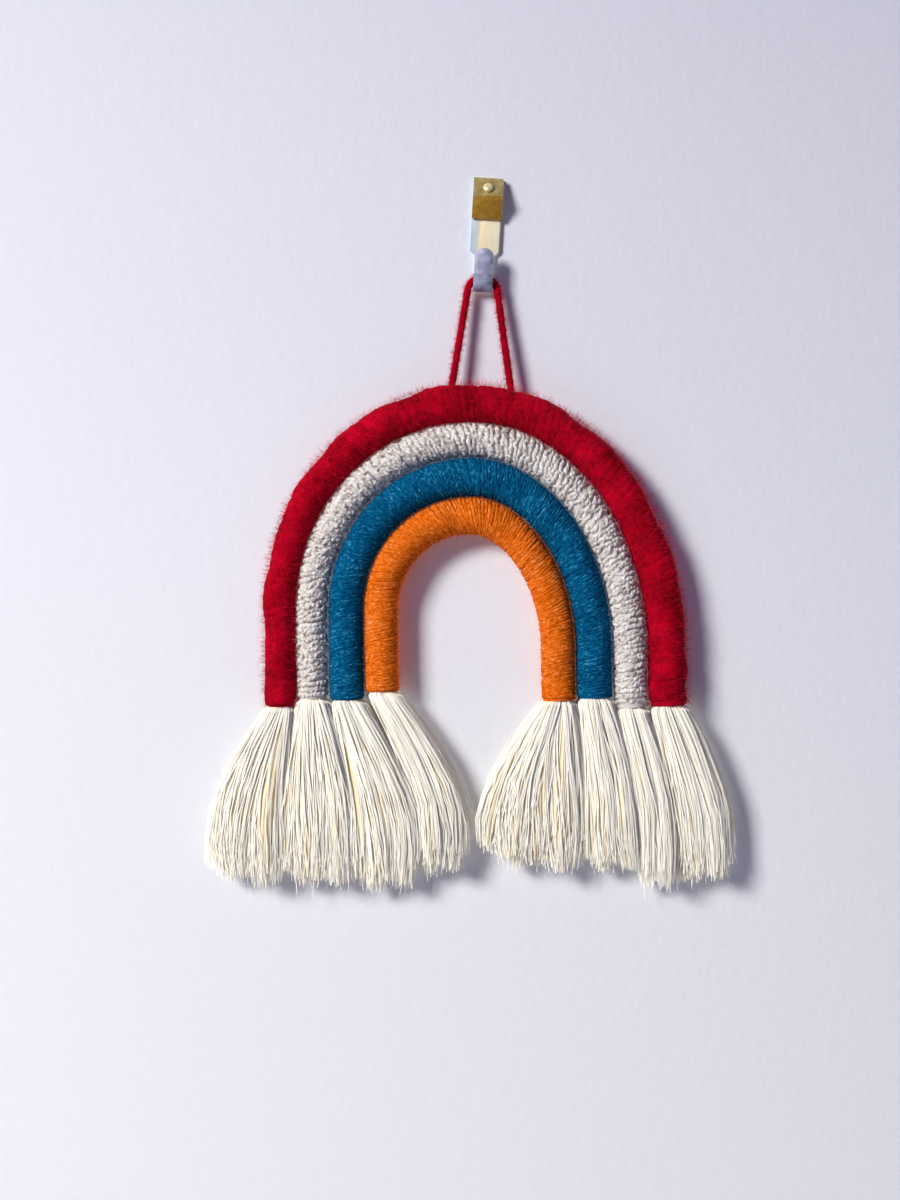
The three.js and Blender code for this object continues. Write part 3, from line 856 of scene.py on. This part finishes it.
def makeFringeTree():
    graph, given = startTree("frayedEnd", strandSizes)
    shape = strandShape
    guides = graph.run("MeshToCurve", {"Mesh": given["Geometry"]})
    position = graph.run("InputPosition")
    way = graph.add("GeometryNodeSplineParameter").outputs["Factor"]
    spanX = graph.named("spanX")
    spanY = graph.named("spanY")

    def swing(start, wave, length):  # a sideways wave that grows towards the tip
        perLength = graph.over(1.0, given[length])
        colour = graph.noise(graph.vector("ADD", position, start), perLength, 2.0, "Color")
        sway = graph.vector("MULTIPLY", graph.vector("SUBTRACT", colour, (0.5, 0.5, 0.5)), shape["sway"])
        growth = graph.math("POWER", way, shape["swayPower"])
        return graph.scaled(sway, graph.times(growth, given[wave]))

    ownLock = graph.plus(graph.times(graph.named("lock"), shape["lockStep"]), given["Seed"])
    lockSwing = swing(graph.xyz(ownLock, ownLock, 0.0), "Lock Wave", "Lock Wave Length")

    body = graph.run("SetPosition", {"Geometry": guides, "Offset": lockSwing})
    body = graph.keep(body, "axisY", graph.part(position, "Y"))
    # the bodies get the ochre tone of painted shade in the gaps
    body = graph.keep(body, "strand", shape["paintedGapShade"])
    toTip = graph.minus(1.0, way)
    pointed = graph.math("MINIMUM", graph.times(toTip, shape["bodyPoint"]), 1.0)
    fuller = graph.minus(shape["bodyFull"], graph.times(way, shape["bodyLoss"]))
    share = graph.times(graph.times(fuller, given["Body Share"]), pointed)
    width = graph.times(spanX, share)
    body = graph.tube(body, given["Body Sides"], 1.0, width)
    axis = graph.named("axisY")
    fromAxis = graph.minus(graph.part(position, "Y"), axis)
    flatter = graph.over(spanY, spanX)
    flattened = graph.plus(axis, graph.times(fromAxis, flatter))
    pressed = graph.xyz(graph.part(position, "X"), flattened, graph.part(position, "Z"))
    body = graph.run("SetPosition", {"Geometry": body, "Position": pressed})

    inputs = {"Geometry": guides, "Amount": given["Strands Per Lock"]}
    strands = graph.run("DuplicateElements", inputs, domain="SPLINE")
    who = graph.add("GeometryNodeCurveOfPoint").outputs["Curve Index"]

    def draw(low, high, number):  # one random value for each strand
        return graph.random(low, high, graph.plus(given["Seed"], float(number)), who)

    start = draw(0.0, 2 * math.pi, 1)
    turn = graph.plus(start, graph.times(way, draw(*shape["twist"], 2)))
    away = graph.math("SQRT", draw(*shape["away"], 3))
    across = graph.times(graph.times(graph.math("COSINE", turn), away), spanX)
    leant = graph.times(graph.times(draw(-1.0, 1.0, 11), way), given["Lean"])
    across = graph.plus(across, leant)
    forward = graph.times(graph.times(graph.math("SINE", turn), away), spanY)
    isStray = graph.math("LESS_THAN", draw(0.0, 1.0, 4), given["Stray"])
    reach = graph.plus(1.0, graph.times(isStray, shape["strayReach"]))
    aside = shape["placeAside"]
    ownStrand = graph.xyz(draw(*aside, 5), draw(*aside, 6), draw(*shape["placeUp"], 7))
    strandSwing = graph.scaled(swing(ownStrand, "Wave", "Wave Length"), reach)
    swung = graph.vector("ADD", lockSwing, strandSwing)
    hangs = graph.times(graph.times(isStray, given["Wisp"]), draw(*shape["hang"], 14))
    nearTip = graph.math("POWER", way, shape["tipPower"])
    lower = graph.times(hangs, nearTip)
    offset = graph.vector("ADD", graph.xyz(across, forward, lower), swung)
    hung = graph.keep(strands, "strand", draw(*shape["tone"], 8))
    ownWay = graph.xyz(graph.math("COSINE", turn), graph.math("SINE", turn), 0.0)
    lockWay = graph.named("outward", "FLOAT_VECTOR")
    lightward = graph.xyz(draw(*shape["facingAcross"], 12), draw(*shape["facingForward"], 13), 0.0)
    facing = graph.scaled(ownWay, shape["ownFacing"])
    facing = graph.vector("ADD", facing, graph.scaled(lockWay, shape["lockFacing"]))
    facing = graph.vector("ADD", facing, lightward)
    facing = graph.vector("NORMALIZE", facing)
    hung = graph.faced(hung, facing)
    hung = graph.run("SetPosition", {"Geometry": hung, "Offset": offset})
    end = graph.random(*shape["cut"], graph.plus(given["Seed"], 9.0))
    cut = graph.run("TrimCurve", {"Curve": hung, 2: 0.0, 3: end}, mode="FACTOR")
    thinner = graph.minus(1.0, graph.times(nearTip, shape["thinning"]))
    thickness = graph.times(draw(*shape["thickness"], 10), thinner)
    flat = graph.ribbon(given["Strand Half Width"], "Y")
    mesh = graph.sweep(cut, flat, thickness, False)
    return endTree(graph, given, [body, mesh])


cottonFinish = {
    # the lowest, ochre stops colour the lock bodies as painted shade in the gaps; the strands use the paler
    # ones
    "stops": [
        (0.0, (246, 224, 168)), (0.25, (251, 241, 212)), (0.5, (254, 250, 236)), (0.75, (255, 252, 242)),
        (1.0, (255, 254, 248)),
    ],
    "patches": (180.0, 0.14),  # scale and weight
    "streaks": (3600.0, 0.16),
    "stretch": (1.0, 1.0, 0.06),  # streaks run lengthways
    "strandWeight": 0.7,
    "middle": 0.18,
    "fibreScale": 5200.0,
    "bump": 0.4,
    "bumpDepth": 0.15,
    "surface": {"Roughness": 0.9, "Specular IOR Level": 0.2, "Sheen Weight": 0.15},
}


def makeCottonMaterial():
    finish = cottonFinish
    material, graph, shader = newMaterial("rawCotton", finish["surface"])
    strand = graph.add("ShaderNodeAttribute", attribute_name="strand").outputs["Fac"]
    place = graph.add("ShaderNodeTexCoord").outputs["Object"]
    patchScale, patchWeight = finish["patches"]
    patches = graph.centred(graph.noise(place, patchScale), patchWeight)
    lengthways = graph.vector("MULTIPLY", place, finish["stretch"])
    streakScale, streakWeight = finish["streaks"]
    streaks = graph.centred(graph.noise(lengthways, streakScale), streakWeight)
    tone = graph.times(strand, finish["strandWeight"])
    tone = graph.plus(tone, graph.plus(patches, finish["middle"]))
    tone = graph.plus(tone, streaks)
    graph.feed(shader["Base Color"], graph.ramp(tone, finish["stops"]))
    fibres = graph.noise(lengthways, finish["fibreScale"], 2.0)
    graph.bump(shader, finish["bump"], finish["bumpDepth"], fibres)
    return material


def makeFringes():
    tree = makeFringeTree()
    cotton = makeCottonMaterial()
    for number, label in enumerate(fringeTips):
        sizes = {**strandSizes, "Seed": strandSizes["Seed"] + fringeSizes["seedStep"] * number}
        piece = growPiece("tassel_" + label, makeFringeHost(label), tree, sizes, cotton)
        dress(piece, "cotton", "fringe_" + label)


makeFringes()


# the hook: its own solids with softened edges, in plated steel and brass
hookFinishes = {
    "plate": {
        "stops": [(0.0, (222, 214, 190)), (0.5, (246, 238, 214)), (1.0, (252, 250, 240))],
        # painted reflection and shadow across the plate: pale blue reflection at its left side, warmer in the
        # middle, and a dark shadow line at its right edge
        "across": [
            (-4.6, (176, 210, 255)), (-2.7, (206, 226, 255)), (-1.6, (255, 246, 222)),
            (3.0, (255, 254, 252)), (4.1, (255, 254, 252)), (4.35, (140, 124, 110)),
        ],
        "spots": 0.2,
        "roughness": 0.32,
        "metallic": 0.1,
    },
    "tongue": {
        "stops": [
            (0.0, (76, 74, 98)), (0.35, (134, 136, 164)), (0.65, (162, 166, 194)), (1.0, (198, 200, 220)),
        ],
        "spots": 0.5,
        "roughness": 0.5,
        "metallic": 0.4,
    },
    "brass": {
        "stops": [
            (0.0, (132, 112, 52)), (0.4, (186, 164, 96)), (0.7, (212, 192, 132)), (1.0, (240, 222, 170)),
        ],
        # painted shade below the fold: the lower facet darker and yellower, the upper facet left as it is
        "upward": [
            (4.0, (240, 206, 120)), (10.4, (236, 204, 124)), (10.7, (255, 255, 255)), (17.0, (255, 255, 255)),
        ],
        "spots": 0.4,
        "roughness": 0.4,
        "metallic": 0.6,
    },
    "nail": {
        "stops": [(0.0, (206, 184, 120)), (0.5, (246, 230, 180)), (1.0, (255, 250, 230))],
        "spots": 0.3,
        "roughness": 0.3,
        "metallic": 0.4,
    },
}
hookSizes = {
    "edge": 0.12,  # rounding of the edges
    "edgeSteps": 2,
    "edgeAngle": 35,  # degrees, for edges that are rounded
    "flatAngle": 2,  # and for faces that count as one
    "weld": 0.001,
    "tongueFrom": -2.2,  # the grey tongue starts here in Y
    "tilt": 3.2,  # degrees to the right
}
metalGrain = {
    "stretch": (1.0, 1.0, 0.06),  # brushed lengthways
    "brushScale": 2600.0,
    "brushWeight": 0.16,
    "spotScale": 420.0,
    "middle": 0.5,
    "wear": 0.1,
    "bump": 0.12,
    "bumpDepth": 0.1,
}


def makeMetal(name, finish):
    grain = metalGrain
    material, graph, shader = newMaterial(name + "Metal", {"Metallic": finish["metallic"]})
    place = graph.add("ShaderNodeTexCoord").outputs["Object"]
    lengthways = graph.vector("MULTIPLY", place, grain["stretch"])
    brushed = graph.noise(lengthways, grain["brushScale"], 3.0)
    spots = graph.noise(place, grain["spotScale"], 3.0)
    uneven = graph.centred(brushed, grain["brushWeight"])
    uneven = graph.plus(uneven, graph.centred(spots, finish["spots"]))
    colour = graph.ramp(graph.plus(uneven, grain["middle"]), finish["stops"])
    height = graph.part(place, "Z")
    lean = graph.times(height, math.tan(math.radians(hookSizes["tilt"])))
    upright = graph.minus(graph.part(place, "X"), lean)
    for key, along in (("across", upright), ("upward", height)):
        if key in finish:  # painted light that changes from side to side, or at the fold: a painted reflection and shadow line on the plate, painted shade below the brass fold
            inputs = {"Factor": 1.0, "A": colour, "B": graph.bands(along, finish[key], mm)}
            paintedLightBand = graph.add("ShaderNodeMix", inputs, data_type="RGBA", blend_type="MULTIPLY")
            colour = graph.socket(paintedLightBand.outputs, "Result")
    graph.feed(shader["Base Color"], colour)
    worn = graph.plus(graph.centred(spots, grain["wear"]), finish["roughness"])
    graph.feed(shader["Roughness"], worn)
    graph.bump(shader, grain["bump"], grain["bumpDepth"], brushed)
    return material


def softenedCopy(name, node, materials):
    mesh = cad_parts[node].data.copy()
    mesh.name = name
    mesh.materials.clear()
    for material in materials:
        mesh.materials.append(material)
    shape = bmesh.new()
    shape.from_mesh(mesh)
    bmesh.ops.remove_doubles(shape, verts=shape.verts, dist=hookSizes["weld"] * mm)
    flat = math.radians(hookSizes["flatAngle"])
    bmesh.ops.dissolve_limit(shape, angle_limit=flat, verts=shape.verts, edges=shape.edges)
    for face in shape.faces:
        face.smooth = True
        onTongue = face.calc_center_median().y < hookSizes["tongueFrom"] * mm
        face.material_index = 1 if onTongue and len(materials) > 1 else 0
    shape.to_mesh(mesh)
    shape.free()
    piece = bpy.data.objects.new(name, mesh)
    scene.collection.objects.link(piece)
    bevel = piece.modifiers.new("edges", "BEVEL")
    bevel.width = hookSizes["edge"] * mm
    bevel.segments = hookSizes["edgeSteps"]
    bevel.limit_method = "ANGLE"
    bevel.angle_limit = math.radians(hookSizes["edgeAngle"])
    bevel.harden_normals = True
    return piece


def makeHook():
    metals = {name: makeMetal(name, finish) for name, finish in hookFinishes.items()}
    strip = softenedCopy("hook_bent_strip", "hook_strip", [metals["plate"], metals["tongue"]])
    dress(strip, "steel", "hook_strip")
    guide = softenedCopy("hook_folded_guide", "hook_guide", [metals["brass"]])
    dress(guide, "brass", "hook_guide")
    nail = softenedCopy("hook_brass_nail", "hook_nail", [metals["nail"]])
    dress(nail, "brass", "hook_nail")
    print("hook done")


makeHook()


# pale backdrop that shows from the front only, with painted light that makes it paler lower down, a floor,
# and soft light from the upper left
stageSizes = {
    "backdropSize": 3.0,
    "backdropBehind": 0.3,  # millimetres behind the hook's plate
    # by height, in metres: paler lower down and darker higher up, painted light falloff on the backdrop
    "backdropPaintedLight": [(-0.3, (240, 243, 250)), (-0.1, (225, 228, 240)), (0.08, (206, 208, 224))],
    "floorBelow": 1.1,
    "floorColours": [(-1.0, (186, 184, 190)), (1.0, (186, 184, 190))],
    "roughness": 0.85,  # of the backdrop and the floor
    "grainScale": 330.0,
    "bump": 0.25,
    "bumpDepth": 0.5,
    "keyPlace": (-0.9, -0.97, 0.42),
    "keySize": 0.38,
    "keyPower": 23.5,
    "keyColour": (255, 252, 243),
    "fillPlace": (-0.8, -0.8, -0.7),
    "fillPower": 1.6,
    "fillSize": 0.9,
    "backPlace": (0.5, 0.9, 0.3),
    "backPower": 9.0,
    "room": [
        (0.3, (108, 104, 160)), (0.5, (160, 156, 230)), (0.62, (202, 199, 250)), (1.0, (216, 214, 255)),
    ],
    "roomStrength": 0.22,
}


def makePlane(name, size, place, turn):
    half = size / 2
    mesh = bpy.data.meshes.new(name)
    corners = [(-half, -half, 0), (half, -half, 0), (half, half, 0), (-half, half, 0)]
    mesh.from_pydata(corners, [], [(0, 1, 2, 3)])
    plane = bpy.data.objects.new(name, mesh)
    plane.location = place
    plane.rotation_euler = (turn, 0, 0)
    scene.collection.objects.link(plane)
    return plane


def makePlaster(name, colours, seenFromBehind):
    material, graph, shader = newMaterial(name, {"Roughness": stageSizes["roughness"]})
    place = graph.add("ShaderNodeTexCoord").outputs["Object"]
    # colour bands by height: on the backdrop these are painted light, paler lower down; the floor's are even
    graph.feed(shader["Base Color"], graph.bands(graph.part(place, "Y"), colours, 1.0))
    grain = graph.noise(place, stageSizes["grainScale"], 3.0)
    graph.bump(shader, stageSizes["bump"], stageSizes["bumpDepth"], grain)
    if not seenFromBehind:
        nodes = material.node_tree.nodes
        behind = graph.add("ShaderNodeNewGeometry").outputs["Backfacing"]
        clear = graph.add("ShaderNodeBsdfTransparent").outputs[0]
        inputs = {0: behind, 1: nodes["Principled BSDF"].outputs[0], 2: clear}
        mixed = graph.add("ShaderNodeMixShader", inputs).outputs[0]
        graph.feed(nodes["Material Output"].inputs["Surface"], mixed)
    return material


def aimLight(name, place, power, size, colour):
    data = bpy.data.lights.new(name, "AREA")
    data.energy = power
    data.size = size
    data.color = picture(*colour)[:3]
    light = bpy.data.objects.new(name, data)
    light.location = place
    target = (cadBox[0] + cadBox[1]) / 2
    light.rotation_euler = (target - Vector(place)).to_track_quat("-Z", "Y").to_euler()
    scene.collection.objects.link(light)


def setUpStage():
    size = stageSizes
    backdrop = makePlane("backdrop", size["backdropSize"], (0, size["backdropBehind"] * mm, 0), math.pi / 2)
    backdrop.data.materials.append(makePlaster("palePlaster", size["backdropPaintedLight"], False))
    backdrop.visible_shadow = False
    floor = makePlane("floor", size["backdropSize"], (0, 0, -size["floorBelow"]), 0)
    floor.data.materials.append(makePlaster("paleFloor", size["floorColours"], True))
    aimLight("key", size["keyPlace"], size["keyPower"], size["keySize"], size["keyColour"])
    aimLight("fill", size["fillPlace"], size["fillPower"], size["fillSize"], size["keyColour"])
    aimLight("back", size["backPlace"], size["backPower"], size["keySize"], size["keyColour"])
    world = bpy.data.worlds.new("softRoom")
    world.use_nodes = True
    graph = Graph(world.node_tree)
    way = graph.add("ShaderNodeTexCoord").outputs["Generated"]
    share = graph.plus(graph.times(graph.part(way, "Z"), 0.5), 0.5)
    glow = world.node_tree.nodes["Background"].inputs
    graph.feed(glow["Color"], graph.ramp(share, size["room"]))
    glow["Strength"].default_value = size["roomStrength"]
    scene.world = world


setUpStage()
print("stage set")
